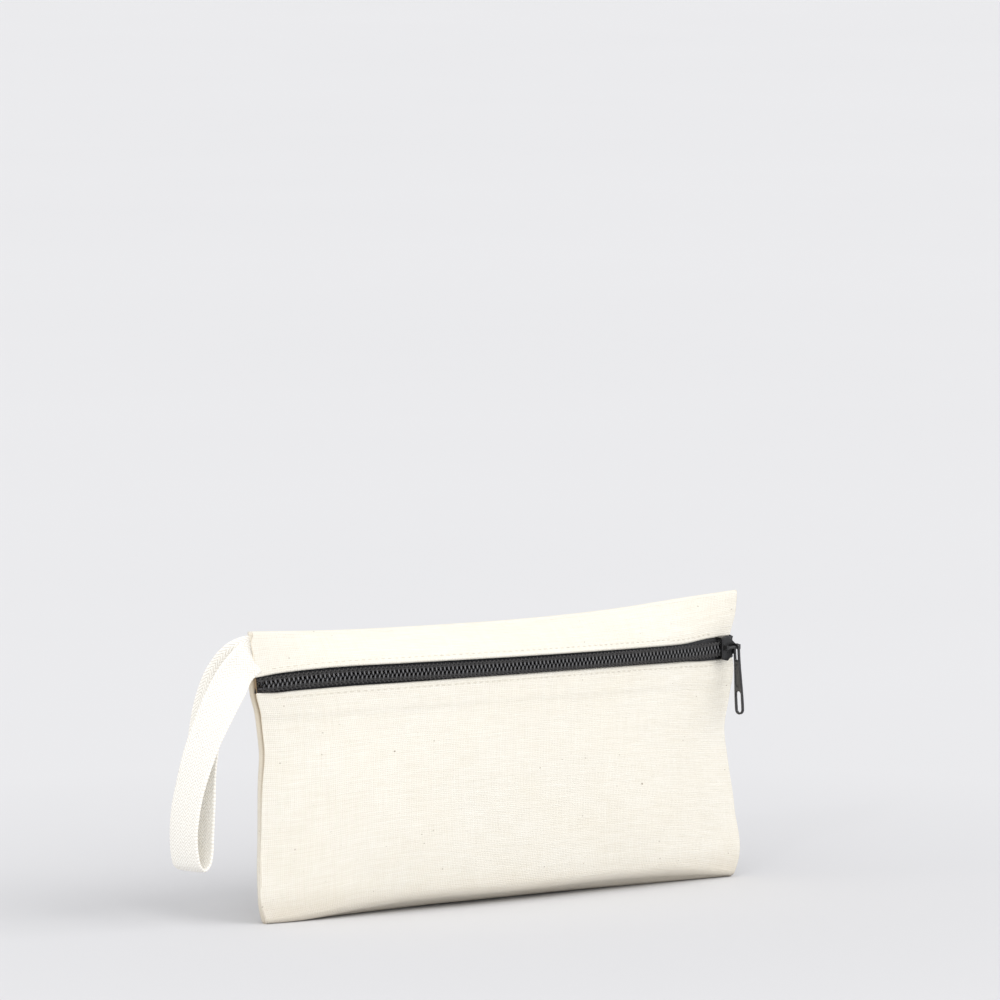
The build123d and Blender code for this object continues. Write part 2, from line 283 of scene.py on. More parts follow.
def zip_point(x, across=0.0, outward=0.0):
    """A point of the zip: across is up from its middle line, outward is off the tape's middle."""
    x, across, outward = np.broadcast_arrays(x, across, outward)
    turn = np.arcsin(x / zip_radius)
    radius = zip_radius + outward
    along = radius * np.sin(turn)
    depth = travel_centre[1] - radius * np.cos(turn)
    return np.stack([along, depth, zip_height + zip_wander(x) + across], -1)


# ---- the canvas surfaces ----

seam_turn = math.radians(160)
roll_share = 1 - math.cos(seam_turn)
zip_depth = zip_radius - travel_centre[1] + hem_outward
front_depths = [(0, 8.6), (4, 9.6), (14, 11.6), (42, 13.0), (64, 12.6), (zip_height, zip_depth)]
back_depths = [
    (0, 8.6), (4, 9.4), (14, 11.2), (40, 13.0), (67, 11.4), (83, 7.2), (94, 2.2), (98, fold_radius),
]
back_seam_depths_left = [(0, 2.6), (25, 2.8), (40, 3.0), (62, 4.2), (98, 4.2)]
back_seam_depth_right = 2.3
back_seam_depth_at_left_fold = 0.5
soft_dents = waves(seed=4, count=7, shortest=34, longest=95)
back_dents = waves(seed=9, count=7, shortest=30, longest=90)
hem_ripples = waves(seed=2, count=5, shortest=7, longest=15)


def columns(step, low, high):
    """Each column's s and turn, for a panel that runs from low to high with columns step apart."""
    body = np.linspace(low, high, int((high - low) * half_length / step) + 1)
    roll = np.linspace(0, seam_turn, roll_columns + 1)[1:]
    s, turn = body, np.zeros(len(body))
    if low == -1:
        s = np.concatenate([np.full(len(roll), -1.0), s])
        turn = np.concatenate([roll[::-1], turn])
    if high == 1:
        s = np.concatenate([s, np.full(len(roll), 1.0)])
        turn = np.concatenate([turn, roll])
    return s, turn


def seam_edge_depth(s, z, behind):
    """How deep a panel still is where it starts to roll into its side seam."""
    if not behind:
        return np.full(np.broadcast(s, z).shape, seam_depth)
    below = np.where(s < 0, through(back_seam_depths_left, z), back_seam_depth_right)
    at_fold = np.where(s < 0, back_seam_depth_at_left_fold, fold_radius)
    return at_fold + (below - at_fold) * smooth(98, 78, z)


def seam_shift(s, z):
    """How far the left seam, where front and back meet, stands in front of the middle plane."""
    return seam_forward * smooth(-0.9, -1.0, s) * smooth(98.5, 92, z) * smooth(2, 14, z)


def seam_roll(s, z, behind):
    """The radius of a panel's roll into its side seam."""
    shift = seam_shift(s, z)
    return (seam_edge_depth(s, z, behind) + (shift if behind else -shift)) / roll_share


def body_depth(s, turn, z, behind):
    """How far a panel stands from the middle plane: a parabola across it, flatter halfway up."""
    edge = seam_edge_depth(s, z, behind)
    depth = through(back_depths if behind else front_depths, z)
    flatter = 0.9 * bump(z, 34, 28)
    if not behind:
        flatter = flatter * smooth(zip_height - 2, 55, z)
    fullness = 1 - np.abs(s) ** (2 + flatter)
    return edge + (depth - edge) * fullness + seam_roll(s, z, behind) * (np.cos(turn) - 1)


def along_pouch(s, turn, z, behind):
    """Where a column stands along X, at height z; front and back meet tucked in at the seam."""
    roll = seam_roll(s, z, behind)
    tuck = seam_tuck / (1 - math.sin(seam_turn))
    drawn_in = np.where(turn > math.pi / 2, tuck, roll) * (1 - np.sin(turn))
    return s * (side_edge(s, z) - roll) + np.sign(s) * (roll - drawn_in)


def stack_grid(s, turn, z, depth, behind):
    """The grid of points for these heights and depths."""
    x = along_pouch(s, turn, z, behind)
    y = depth if behind else -depth
    return np.stack(np.broadcast_arrays(x, y, z), -1)


def bottom_rows(s, turn, lift, height_at_middle, behind):
    """The rows that round the bottom edge and cross to the middle, and the rounding's radius."""
    wall_depth = body_depth(s, turn, lift + bottom_radius, behind)
    radius = np.clip(0.7 * wall_depth, 0.05, bottom_radius)
    heights, depths = [], []
    for angle in np.linspace(0, math.pi / 2, 8)[1:]:
        heights.append(lift + radius * (1 - math.sin(angle)))
        depths.append(wall_depth - radius * (1 - math.cos(angle)))
    inner = wall_depth - radius
    for share in np.linspace(0, 1, 6)[1:]:
        heights.append(lift + (height_at_middle - lift) * share)
        depths.append(inner * (1 - share))
    return np.array(heights), np.array(depths), radius


def stitch_pull(x, from_stitch):
    """How the topstitch draws the cloth in, with a small pucker at each stitch."""
    each = 0.5 + 0.5 * np.cos(x * math.tau / stitch_pitch)
    groove = -0.08 * bump(from_stitch, 0, 0.7) * (0.5 + 0.5 * each)
    fan_length = 2.7 * stitch_pitch
    fan = 0.05 * bump(from_stitch, 2.6, 2.2) * np.sin(x * math.tau / fan_length + np.sin(x / 9))
    return groove + fan


def front_relief(x, below_hem):
    """The front's own surface: the hem's step, the puckers, soft dents and two drawn-in waists."""
    step = -0.35 * smooth(hem_width - 1.5, hem_width + 1.5, below_hem)
    soft = 0.38 * soft_dents(x, below_hem) * smooth(6, 26, below_hem)
    ripple = 0.10 * hem_ripples(x, 0.25 * below_hem) * smooth(1, 5, below_hem) * smooth(30, 8, below_hem)
    right_waist = -0.9 * bump(x, 86, 9) * bump(below_hem, 27, 17)
    left_waist = -0.5 * bump(x, -86, 7) * bump(below_hem, 20, 12)
    return step + soft + ripple + right_waist + left_waist + stitch_pull(x, below_hem - stitch_from_hem)


def front_surface(s, turn):
    """The front panel's outside, from the zip down and under to the middle of the bottom."""
    x = s * half_length
    lift = bottom_edge(x)
    hem = zip_height + zip_wander(x) - window_half(x, upper=False)
    low_z, low_depth, radius = bottom_rows(s, turn, lift, base_lift_share * lift, behind=False)
    share = np.linspace(0, 1, front_rows)[:, None] ** 1.25
    wall_z = hem + (lift + radius - hem) * share
    wall_depth = body_depth(s, turn, wall_z, behind=False)
    z = np.concatenate([wall_z, low_z])
    depth = np.concatenate([wall_depth, low_depth])
    depth = depth + front_relief(x, hem - z) * smooth(0, 6, z) * np.cos(turn / 2)
    return stack_grid(s, turn, z, depth, behind=False)


def back_surface(s, turn):
    """The back panel's outside, from the top fold down and under to the middle of the bottom."""
    x = s * half_length
    top = top_edge(x)
    lift = np.zeros(len(x))
    base_lift = base_lift_share * bottom_edge(x)
    low_z, low_depth, radius = bottom_rows(s, turn, lift, base_lift, behind=True)
    share = np.linspace(0, 1, back_rows)[:, None]
    wall_z = (top - fold_radius) + (lift + radius - top + fold_radius) * share
    wall_depth = body_depth(s, turn, wall_z, behind=True)
    angle = np.linspace(math.pi / 2, 0, fold_rows + 1)[:-1, None]
    cap_z = top - fold_radius * (1 - np.sin(angle))
    cap_depth = wall_depth[0] * np.cos(angle)
    z = np.concatenate([cap_z, wall_z, low_z])
    depth = np.concatenate([cap_depth, wall_depth, low_depth])
    dents = 0.6 * back_dents(x, z) * smooth(0, 10, z) * smooth(95, 84, z)
    depth = depth + dents * np.cos(turn / 2)
    return stack_grid(s, turn, z, depth, behind=True)


def band_surface(s, turn):
    """The band above the zip, which leans back from its folded edge to the top fold."""
    x = s * half_length
    hem = zip_height + zip_wander(x) + window_half(x, upper=True)
    top = top_edge(x)
    depth_at_hem = body_depth(s, turn, zip_height, behind=False)
    fold = np.minimum(fold_radius, 0.8 * depth_at_hem)
    share = np.linspace(0, 1, band_rows)[:, None] ** 1.15
    lean = 0.87
    wall_z = hem + (top - fold - hem) * share**lean
    wall_depth = fold + (depth_at_hem - fold) * (1 - share) ** lean
    angle = np.linspace(0, math.pi / 2, fold_rows + 1)[1:, None]
    cap_z = top - fold * (1 - np.sin(angle))
    cap_depth = fold * np.cos(angle)
    z = np.concatenate([wall_z, cap_z])
    depth = np.concatenate([wall_depth, cap_depth])
    above = z - hem
    relief = stitch_pull(x, above - stitch_from_hem) + 0.16 * soft_dents(1.7 * x, above) * smooth(2, 6, above)
    depth = depth + relief * smooth(top, top - 3, z) * np.cos(turn / 2)
    return stack_grid(s, turn, z, depth, behind=False)


# ---- meshes ----

sharp_angle = math.radians(50)


def add_mesh(name, points, faces, uv=None):
    """A new object from points in millimetres, with its flat cloth coordinates in metres."""
    mesh = bpy.data.meshes.new(name)
    mesh.from_pydata([tuple(point) for point in np.array(points) * MM], [], [tuple(face) for face in faces])
    mesh.validate()
    if uv is not None:
        layer = mesh.uv_layers.new(name="cloth")
        corners = np.zeros(len(mesh.loops), int)
        mesh.loops.foreach_get("vertex_index", corners)
        layer.data.foreach_set("uv", (np.array(uv)[corners] * MM).ravel())
    mesh.polygons.foreach_set("use_smooth", np.ones(len(mesh.polygons), bool))
    mesh.set_sharp_from_angle(angle=sharp_angle)
    obj = bpy.data.objects.new(name, mesh)
    scene.collection.objects.link(obj)
    return obj


def add_values(obj, name, values):
    """Gives every point of a piece a number that its material reads."""
    layer = obj.data.attributes.new(name, "FLOAT", "POINT")
    layer.data.foreach_set("value", np.array(values, float))


def point_places(obj):
    """A piece's points, in millimetres."""
    places = np.zeros(3 * len(obj.data.vertices))
    obj.data.vertices.foreach_get("co", places)
    return places.reshape(-1, 3) / MM


def grid_normals(grid, outward_from):
    """Unit normals of a grid of points, pointing away from a point, and whether they were turned."""
    normals = np.cross(np.gradient(grid, axis=1), np.gradient(grid, axis=0))
    normals /= np.maximum(np.linalg.norm(normals, axis=-1, keepdims=True), 1e-9)
    turned = np.sum(normals * (grid - outward_from)) < 0
    return (-normals if turned else normals), turned


def flat_coordinates(grid):
    """Where each point lay on the flat cloth: across from the middle, and down from row 0."""
    rows, cols = grid.shape[:2]
    middle_row = grid[rows // 3]
    across = middle_row[0, 0] + distances(middle_row)
    down = distances(grid[:, cols // 2])
    return np.stack(np.broadcast_arrays(across[None, :], -down[:, None]), -1)


def thinned(outer, thickness):
    """A canvas panel's thickness, less where it comes near the pouch's middle plane."""
    x, y, z = np.moveaxis(outer, -1, 0)
    from_seam = np.abs(y + seam_shift(x / (half_length - 1.0), z))
    return np.minimum(thickness, 0.8 * from_seam + 0.1)


def shell(name, outer, thickness, outward_from, round_first=True, round_last=False):
    """A closed sheet of cloth behind an outer surface, with rounded edges where asked."""
    rows, cols = outer.shape[:2]
    thickness = np.broadcast_to(thickness, (rows, cols))[..., None]
    normals, turned = grid_normals(outer, outward_from)
    inner = outer - normals * thickness
    inner[..., 2] = np.clip(inner[..., 2], outer[..., 2].min(), outer[..., 2].max())
    flat = flat_coordinates(outer)

    def rim(row, beside):
        """The points round one edge, from the outer face to the inner."""
        out = outer[row] - outer[beside]
        out /= np.maximum(np.linalg.norm(out, axis=-1, keepdims=True), 1e-9)
        half = thickness[row] / 2
        middle = outer[row] - normals[row] * half
        angles = np.linspace(0, math.pi, 7)[1:-1]
        return [middle + half * (math.cos(a) * normals[row] + math.sin(a) * out) for a in angles]

    first_rim = rim(0, 1) if round_first else []
    last_rim = rim(rows - 1, rows - 2)[::-1] if round_last else []
    loop = list(outer[::-1]) + first_rim + list(inner) + last_rim
    flats = list(flat[::-1]) + [flat[0]] * len(first_rim) + list(flat) + [flat[-1]] * len(last_rim)
    ring = len(loop)
    points = np.array(loop).transpose(1, 0, 2).reshape(-1, 3)
    uv = np.array(flats).transpose(1, 0, 2).reshape(-1, 2)
    faces = []
    for col in range(cols - 1):
        for k in range(ring):
            a, b = col * ring + k, col * ring + (k + 1) % ring
            faces.append((a, b, b + ring, a + ring))
    for col in (0, cols - 1):
        base = col * ring
        cap = []
        inner_start = rows + len(first_rim)
        for k in range(rows - 1):
            across = inner_start + rows - 1 - k
            cap.append((base + k, base + across, base + across - 1, base + k + 1))
        if first_rim:
            cap.append([base + k for k in range(rows - 1, inner_start + 1)])
        if last_rim:
            cap.append([base + k for k in range(inner_start + rows - 1, ring)] + [base])
        faces += cap if col == 0 else [tuple(reversed(face)) for face in cap]
    if turned:
        faces = [tuple(reversed(face)) for face in faces]
    return add_mesh(name, points, faces, uv)


def tube(path, radius, sides=8):
    """The points and faces of one closed tube along a path."""
    path = np.array(path, float)
    radius = np.broadcast_to(radius, len(path))
    tangents = np.gradient(path, axis=0)
    tangents /= np.linalg.norm(tangents, axis=1, keepdims=True)
    side = np.cross(tangents[0], [0.3, 0.5, 0.81])
    angles = np.arange(sides) * math.tau / sides
    points = []
    for place, tangent, thick in zip(path, tangents, radius):
        side = side - tangent * np.dot(side, tangent)
        side /= np.linalg.norm(side)
        other = np.cross(tangent, side)
        points += [place + thick * (math.cos(a) * side + math.sin(a) * other) for a in angles]
    faces = []
    for ring in range(len(path) - 1):
        for k in range(sides):
            a, b = ring * sides + k, ring * sides + (k + 1) % sides
            faces.append((a, b, b + sides, a + sides))
    last = (len(path) - 1) * sides
    faces.append(tuple(range(sides))[::-1])
    faces.append(tuple(range(last, last + sides)))
    return points, faces


def add_tubes(name, tubes):
    """One object from several tubes."""
    points, faces = [], []
    for tube_points, tube_faces in tubes:
        start = len(points)
        points += list(tube_points)
        faces += [tuple(start + k for k in face) for face in tube_faces]
    return add_mesh(name, points, faces)


# ---- camera, floor and light ----

camera_azimuth = math.radians(-34.806)
camera_elevation = math.radians(7.562)
camera_pitch = math.radians(-5.957)
camera_distance = 3.048
camera_lens = 328.2
camera_sensor = 36
camera_sees_to = 200
aim_height = pouch_height * MM / 2
floor_reach = 60 / MM


def place_camera():
    """A long lens at the photograph's angle, level from side to side."""
    data = bpy.data.cameras.new("camera")
    data.sensor_width = camera_sensor
    data.lens = camera_lens
    data.clip_end = camera_sees_to
    camera = bpy.data.objects.new("camera", data)
    away = camera_distance * math.cos(camera_elevation)
    camera.location = (
        away * math.sin(camera_azimuth),
        -away * math.cos(camera_azimuth),
        aim_height + camera_distance * math.sin(camera_elevation),
    )
    camera.rotation_euler = (math.pi / 2 + camera_pitch, 0, camera_azimuth)
    scene.collection.objects.link(camera)
    scene.camera = camera


def add_sun(name, towards, strength, softness, colour):
    """A sun that shines along a direction, softness degrees wide."""
    data = bpy.data.lights.new(name, "SUN")
    data.energy = strength
    data.angle = math.radians(softness)
    data.color = colour
    light = bpy.data.objects.new(name, data)
    x, y, z = towards
    light.rotation_euler = (math.atan2(math.hypot(x, y), -z), 0, math.atan2(y, x) - math.pi / 2)
    scene.collection.objects.link(light)


def light_studio():
    """Pale surroundings, a key and a lower side light from the right, a wide fill from the left."""
    scene.view_settings.view_transform = "Standard"
    world = bpy.data.worlds.new("studio")
    scene.world = world
    world.use_nodes = True
    background = world.node_tree.nodes["Background"]
    background.inputs["Color"].default_value = (0.965, 0.97, 0.99, 1)
    background.inputs["Strength"].default_value = 0.66
    add_sun("key", towards=(-0.42, 0.91, -0.78), strength=0.92, softness=38, colour=(1.0, 0.99, 0.975))
    add_sun("side", towards=(-0.82, 0.57, -0.50), strength=0.45, softness=22, colour=(1.0, 0.995, 0.99))
    add_sun("fill", towards=(0.82, 0.42, -0.5), strength=1.45, softness=85, colour=(1.0, 0.995, 0.99))
    add_sun("glint", towards=(0.75, 0.55, -0.45), strength=0.12, softness=3, colour=(1.0, 1.0, 1.0))


# ---- materials ----


class Look:
    """A material made of nodes. Each method adds nodes and returns an output."""

    def __init__(self, name):
        self.material = bpy.data.materials.new(name)
        self.material.use_nodes = True
        self.tree = self.material.node_tree
        self.surface = self.tree.nodes["Principled BSDF"]

    def plug(self, socket, value):
        """Links a node's output to a socket, or sets the socket's own value."""
        if isinstance(value, bpy.types.NodeSocket):
            self.tree.links.new(value, socket)
        else:
            socket.default_value = value

    def add(self, kind, inputs=None, output=0, **settings):
        """A node of this kind, with its inputs and settings."""
        node = self.tree.nodes.new(kind)
        for key, value in settings.items():
            setattr(node, key, value)
        for key, value in (inputs or {}).items():
            self.plug(node.inputs[key], value)
        return node.outputs[output]

    def math(self, operation, *values):
        return self.add("ShaderNodeMath", dict(enumerate(values)), operation=operation)

    def times(self, first, second):
        return self.math("MULTIPLY", first, second)

    def plus(self, first, second):
        return self.math("ADD", first, second)

    def spread(self, value, low, high, to_low, to_high):
        """value, from low to high, turned into to_low to to_high."""
        return self.add("ShaderNodeMapRange", {0: value, 1: low, 2: high, 3: to_low, 4: to_high})

    def mix(self, share, first, second):
        """A colour from first to second."""
        return self.add("ShaderNodeMix", {0: share, 6: first, 7: second}, output=2, data_type="RGBA")

    def stretched(self, vector, x, y, z=1.0):
        return self.add("ShaderNodeVectorMath", {0: vector, 1: (x, y, z)}, operation="MULTIPLY")

    def noise(self, vector, scale=1.0, detail=3.0, roughness=0.55):
        inputs = {"Vector": vector, "Scale": scale, "Detail": detail, "Roughness": roughness}
        return self.add("ShaderNodeTexNoise", inputs)

    def point_value(self, name):
        """The number that add_values gave to each point."""
        return self.add("ShaderNodeAttribute", output=2, attribute_name=name)

    def cloth(self):
        """Millimetres on the flat cloth, as a vector and as its two parts."""
        uv = self.add("ShaderNodeUVMap", uv_map="cloth")
        place = self.stretched(uv, 1 / MM, 1 / MM)
        node = self.tree.nodes.new("ShaderNodeSeparateXYZ")
        self.plug(node.inputs[0], place)
        return place, node.outputs[0], node.outputs[1]

    def solid(self):
        """Millimetres in the object's own space."""
        place = self.add("ShaderNodeTexCoord", output=3)
        return self.stretched(place, 1 / MM, 1 / MM, 1 / MM)

    def finish(self, colour, roughness, height=None, distance=0.0, **more):
        """The finished material; distance is how far its relief stands up, in millimetres."""
        self.plug(self.surface.inputs["Base Color"], colour)
        self.plug(self.surface.inputs["Roughness"], roughness)
        for key, value in more.items():
            self.plug(self.surface.inputs[key.replace("_", " ")], value)
        if height is not None:
            relief = {"Strength": 1.0, "Distance": distance * MM, "Height": height}
            self.plug(self.surface.inputs["Normal"], self.add("ShaderNodeBump", relief))
        return self.material


def plain_weave(look, across, down):
    """The height of a plain weave, 0 to 1, from places counted in threads."""
    threads_crossed = look.plus(look.math("FLOOR", across), look.math("FLOOR", down))
    warp_on_top = look.math("ABSOLUTE", look.math("MODULO", threads_crossed, 2.0))
    weft_on_top = look.math("SUBTRACT", 1.0, warp_on_top)
    round_warp = look.math("SINE", look.times(look.math("FRACT", across), math.pi))
    round_weft = look.math("SINE", look.times(look.math("FRACT", down), math.pi))
    warp = look.times(round_warp, look.spread(round_weft, 0, 1, 0.35, 1.0))
    weft = look.times(round_weft, look.spread(round_warp, 0, 1, 0.35, 1.0))
    return look.plus(look.times(warp, warp_on_top), look.times(weft, weft_on_top))


# Each size of seed fleck in the canvas: spacing, size, shift and strength.
seed_flecks = ((7.0, 0.034, 0.0, 0.42), (21.0, 0.018, 31.0, 0.7), (3.1, 0.065, 57.0, 0.14))


def canvas_look():
    """Unbleached cotton canvas: a plain weave of uneven yarns with slubs and seed flecks."""
    pale = (0.948, 0.926, 0.855, 1)
    warm = (0.925, 0.880, 0.770, 1)
    slub_shadow = (0.70, 0.63, 0.49, 1)
    between_yarns = (0.62, 0.55, 0.42, 1)
    painted_bounce_tan = (1.0, 0.88, 0.69, 1)
    painted_shade_brown = (0.32, 0.23, 0.135, 1)
    seed_brown = (0.24, 0.18, 0.11, 1)
    warp_per_mm = 1.55
    weft_per_mm = 1.62
    look = Look("natural_canvas")
    place, across, down = look.cloth()
    drift = look.noise(look.stretched(place, 0.05, 0.35), detail=2)
    across_threads = look.times(look.plus(across, look.times(drift, 0.5)), warp_per_mm)
    down_threads = look.times(look.plus(down, look.times(drift, 0.7)), weft_per_mm)
    weave = plain_weave(look, across_threads, down_threads)
    weft_slub = look.noise(look.stretched(place, 0.09, 1.5), detail=4, roughness=0.7)
    warp_slub = look.noise(look.stretched(place, 1.7, 0.07), detail=4, roughness=0.7)
    slub = look.plus(look.times(weft_slub, 0.62), look.times(warp_slub, 0.38))
    broad = look.noise(look.stretched(place, 0.035, 0.05), detail=3)
    colour = look.mix(look.spread(broad, 0.3, 0.75, 0.0, 0.55), pale, warm)
    colour = look.mix(look.spread(slub, 0.38, 0.66, 0.34, 0.0), colour, slub_shadow)
    colour = look.mix(look.spread(weave, 0.0, 0.55, 0.28, 0.0), colour, between_yarns)
    # Painted light: the rolled sides are tinted warm, standing for bounced light in their shade.
    colour = look.mix(look.times(look.point_value("roll"), 0.75), colour, painted_bounce_tan)
    # Painted shade, with a little dirt, in the side crease and along the lowest edge.
    colour = look.mix(look.point_value("shade"), colour, painted_shade_brown)
    for spacing, size, shift, strength in seed_flecks:
        shifted = look.add("ShaderNodeVectorMath", {0: place, 1: (shift, shift, 0)}, operation="ADD")
        squashed = look.stretched(shifted, 0.8 / spacing, 1.1 / spacing)
        dot = look.add("ShaderNodeTexVoronoi", {"Vector": squashed, "Scale": 1.0}, voronoi_dimensions="2D")
        chance = look.noise(look.stretched(shifted, 0.9 / spacing, 0.9 / spacing), detail=0)
        fleck = look.math("LESS_THAN", dot, look.spread(chance, 0.55, 0.70, 0.0, size))
        colour = look.mix(look.times(fleck, strength), colour, seed_brown)
    height = look.plus(look.times(weave, 0.7), look.times(slub, 0.9))
    roughness = look.spread(slub, 0.3, 0.7, 0.78, 0.93)
    return look.finish(
        colour, roughness, height, 0.16, Sheen_Weight=0.12, Sheen_Roughness=0.5, Specular_IOR_Level=0.2
    )


def twill_look():
    """Cotton herringbone tape: ribs that slant one way and then the other across its width."""
    white = (0.965, 0.950, 0.900, 1)
    cream = (0.955, 0.930, 0.865, 1)
    between_ribs = (0.68, 0.58, 0.42, 1)
    thread_shadow = (0.76, 0.67, 0.52, 1)
    painted_inside_shade = (0.98, 0.82, 0.61, 1)
    stripe_width = 2.4
    ribs_per_mm = 0.8
    slant_of_ribs = 2.6
    look = Look("herringbone_tape")
    place, across, down = look.cloth()
    stripe = look.math("DIVIDE", down, stripe_width)
    zigzag = look.math("ABSOLUTE", look.math("SUBTRACT", look.math("FRACT", stripe), 0.5))
    slant = look.plus(look.times(across, ribs_per_mm), look.times(zigzag, slant_of_ribs))
    rib = look.math("ABSOLUTE", look.math("SINE", look.times(slant, math.pi)))
    thread = look.noise(look.stretched(place, 0.5, 3.2), detail=4, roughness=0.65)
    fluff = look.noise(look.stretched(place, 0.15, 0.4), detail=2)
    colour = look.mix(look.spread(fluff, 0.3, 0.7, 0.0, 0.6), white, cream)
    colour = look.mix(look.spread(rib, 0.0, 0.5, 0.42, 0.0), colour, between_ribs)
    colour = look.mix(look.spread(thread, 0.35, 0.62, 0.10, 0.0), colour, thread_shadow)
    # Painted shade: the loop's inner face, lower down, is tinted a warmer, darker tan for the shade and
    # bounced light there.
    colour = look.mix(look.times(look.point_value("inside"), 0.85), colour, painted_inside_shade)
    height = look.plus(rib, look.times(thread, 0.3))
    return look.finish(colour, 0.88, height, 0.16, Sheen_Weight=0.05, Specular_IOR_Level=0.1)


def thread_look(name, pale, dark, roughness=0.6):
    """Twisted sewing thread."""
    look = Look(name)
    place = look.solid()
    twist = {"Vector": place, "Scale": 2.4, "Distortion": 1.5}
    ply = look.add("ShaderNodeTexWave", twist, bands_direction="DIAGONAL")
    fuzz = look.noise(place, 3.0)
    share = look.times(ply, look.spread(fuzz, 0.3, 0.7, 0.5, 1.0))
    return look.finish(look.mix(share, dark, pale), roughness, ply, 0.06)


def zip_tape_look():
    """Black polyester zip tape with a fine ribbed weave."""
    black = (0.008, 0.008, 0.010, 1)
    rib_grey = (0.022, 0.022, 0.026, 1)
    wear_and_highlight_grey = (0.045, 0.045, 0.05, 1)
    warp_per_mm = 2.4
    weft_per_mm = 2.0
    look = Look("black_zip_tape")
    place, across, down = look.cloth()
    weave = plain_weave(look, look.times(across, warp_per_mm), look.times(down, weft_per_mm))
    worn = look.noise(look.stretched(place, 0.3, 0.3), detail=4)
    colour = look.mix(look.spread(weave, 0, 1, 0, 1), black, rib_grey)
    colour = look.mix(look.spread(worn, 0.5, 0.8, 0, 0.25), colour, wear_and_highlight_grey)
    return look.finish(colour, 0.72, weave, 0.12, Sheen_Weight=0.15)


def coil_look():
    """Black moulded nylon wire, satin, with faint drawing lines and a painted highlight on its crowns."""
    black = (0.022, 0.022, 0.024, 1)
    wear_and_highlight_grey = (0.22, 0.22, 0.225, 1)
    look = Look("black_nylon_coil")
    fine = look.noise(look.stretched(look.solid(), 2.0, 2.0, 6.0), detail=3)
    # Painted highlight: the wires' crowns are coloured grey where light would shine on them.
    colour = look.mix(look.point_value("shine"), black, wear_and_highlight_grey)
    roughness = look.spread(fine, 0.3, 0.7, 0.32, 0.46)
    return look.finish(colour, roughness, fine, 0.02, Specular_IOR_Level=0.5, Coat_Weight=0.1)


def metal_look(name, flat):
    """Black-plated zinc casting: satin gunmetal faces, with painted shade along their rounded edges."""
    pale = (1.15 * flat, 1.15 * flat, 1.18 * flat, 1)
    deep = (0.85 * flat, 0.85 * flat, 0.87 * flat, 1)
    painted_edge_shade = (0.016, 0.016, 0.018, 1)
    edge_radius = 0.6 * MM
    look = Look(name)
    place = look.solid()
    rounded = look.add("ShaderNodeBevel", {"Radius": edge_radius}, samples=8)
    true_normal = look.add("ShaderNodeNewGeometry", output=1)
    facing = look.add("ShaderNodeVectorMath", {0: rounded, 1: true_normal}, output=1, operation="DOT_PRODUCT")
    cast = look.noise(place, 1.6, detail=5, roughness=0.65)
    fine = look.noise(place, 9.0, detail=2)
    edge = look.spread(facing, 0.998, 0.93, 0.0, 1.0)
    edge = look.times(edge, look.spread(cast, 0.4, 0.6, 0.4, 1.0))
    colour = look.mix(look.spread(cast, 0.35, 0.7, 0, 1), deep, pale)
    # Painted shade: the rounded edges are darkened, as they reflect less light than the flat faces.
    colour = look.mix(edge, colour, painted_edge_shade)
    roughness = look.spread(cast, 0.3, 0.7, 0.24, 0.40)
    material = look.finish(colour, roughness, Metallic=0.85, Specular_IOR_Level=0.6)
    grain = {"Strength": 0.5, "Distance": 0.03 * MM, "Height": fine, "Normal": rounded}
    look.plug(look.surface.inputs["Normal"], look.add("ShaderNodeBump", grain))
    return material


def floor_look():
    """A matt pale studio floor, with painted shadow close round the pouch."""
    grey = (0.735, 0.735, 0.745, 1)
    pale_grey = (0.755, 0.755, 0.765, 1)
    painted_shadow_grey = (0.66, 0.66, 0.675, 1)
    look = Look("studio_floor")
    place = look.add("ShaderNodeTexCoord", output=3)
    colour = look.mix(look.noise(place, 2.0, detail=3), grey, pale_grey)
    away = look.add("ShaderNodeVectorMath", {0: place}, output=1, operation="LENGTH")
    # Painted shadow: the floor darkens towards the pouch.
    colour = look.mix(look.spread(away, 0.08, 0.35, 0.7, 0.0), colour, painted_shadow_grey)
    return look.finish(colour, 0.9, Specular_IOR_Level=0.1)


def add_floor():
    """A floor so large that its far edge is above the camera's view."""
    corners = [(-1, -1), (1, -1), (1, 1), (-1, 1)]
    points = [(floor_reach * x, floor_reach * y, 0) for x, y in corners]
    floor = add_mesh("studio_floor", points, [(0, 1, 2, 3)])
    floor.data.materials.append(floor_look())


place_camera()
light_studio()
add_floor()

canvas = canvas_look()
twill = twill_look()
cotton = thread_look("cotton_thread", (0.93, 0.90, 0.82, 1), (0.78, 0.72, 0.60, 1))
zip_thread = thread_look("black_zip_thread", (0.095, 0.090, 0.090, 1), (0.025, 0.024, 0.025, 1), 0.55)
zip_tape = zip_tape_look()
nylon = coil_look()
# Painted light: one plating in three brightnesses, the pull lightest and the body darkest, for how much light
# each reflects.
metals = {
    "slider_body": metal_look("black_plated_slider", 0.055),
    "slider_bridge": metal_look("black_plated_bridge", 0.065),
    "pull_tab": metal_look("black_plated_pull", 0.095),
}

# The lip's pieces are made in two halves: a half's name, and its lowest and highest s.
halves = (("left", -1.0, 0.0), ("right", 0.0, 1.0))


def dress(obj, material, slot, body, *nodes):
    """Gives a piece its material, hides the CAD nodes that it stands for, and attaches it to its body; a lip
    piece is only baked in place.
    """
    obj.data.materials.append(material)
    if nodes:
        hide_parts(*nodes)
    if body == "lip":
        end = math.copysign(half_length, point_places(obj)[:, 0].mean())
        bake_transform(obj)
    else:
        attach(obj, body)


# ---- canvas panels ----


